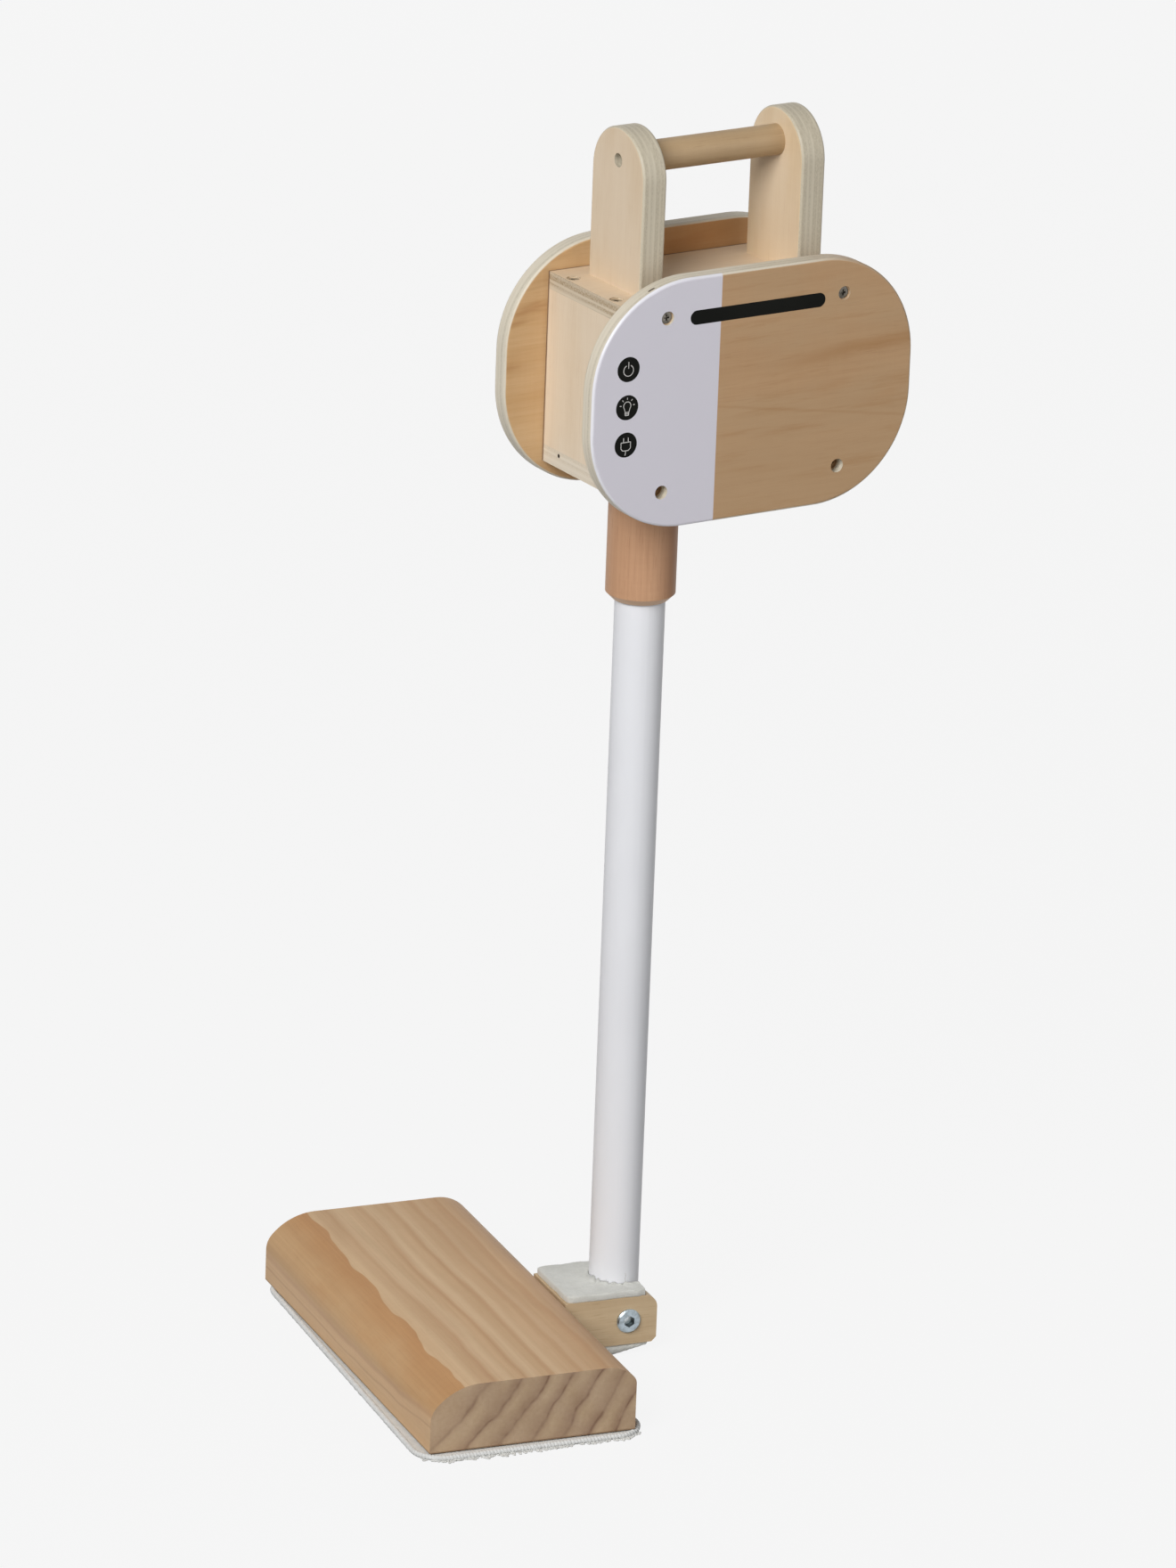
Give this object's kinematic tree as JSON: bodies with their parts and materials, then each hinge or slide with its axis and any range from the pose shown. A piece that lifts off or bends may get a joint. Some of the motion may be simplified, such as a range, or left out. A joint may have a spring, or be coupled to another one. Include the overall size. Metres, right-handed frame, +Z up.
{
  "type": "toy vacuum cleaner",
  "caption": "Wooden pretend-play stick vacuum: pine floor head with a mop pad, tilting white pole and a turning plywood body with a carrying handle.",
  "frame": {"origin": "middle of the sole, on the floor under the mop pad", "axes": "+Z up along the pole, -Y the way the foot leads, +X to the right side panel"},
  "size_m": [0.252, 0.2851, 0.6579],
  "materials": {
    "pine": "sanded and waxed",
    "hook_tape": "woven hooks",
    "terry": "looped terry",
    "block_wood": "sanded",
    "beech": "sanded",
    "felt": "pressed felt",
    "zinc_steel": "zinc plated",
    "white_paint": "satin white paint",
    "board_plywood": "sanded",
    "panel_plywood": "sanded, partly white painted",
    "upright_plywood": "sanded",
    "bar_wood": "sanded"
  },
  "bodies": {
    "foot": {"foot_block": "pine", "hook_tape": "hook_tape", "mop_pad": "terry", "pivot_block": "block_wood", "block_dowels": "beech", "felt_top": "felt", "felt_glide": "felt", "pivot_sleeve": "zinc_steel", "pivot_bolt": "zinc_steel"},
    "pole": {"pole": "white_paint"},
    "head": {"pole_socket": "beech", "socket_screws": "zinc_steel", "bottom_board": "board_plywood", "top_board": "board_plywood", "front_board": "board_plywood", "rear_board": "board_plywood", "right_panel": "panel_plywood", "left_panel": "panel_plywood", "right_panel_screws": "zinc_steel", "left_panel_screws": "zinc_steel", "top_board_screws": "zinc_steel", "bottom_board_screws": "zinc_steel", "front_upright": "upright_plywood", "rear_upright": "upright_plywood", "upright_screws": "zinc_steel", "handle_bar": "bar_wood", "handle_screws": "zinc_steel"}
  },
  "joints": [
    {"name": "pole_tilt", "type": "hinge", "parent": "foot", "child": "pole", "pos_m": [0, 0.0916, 0.0194], "axis": [-1, 0, 0], "range_deg": [0, 75]},
    {"name": "head_turn", "type": "hinge", "parent": "pole", "child": "head", "pos_m": [0, 0.0916, 0.4079], "axis": [0, 0, 1], "continuous": true}
  ]
}
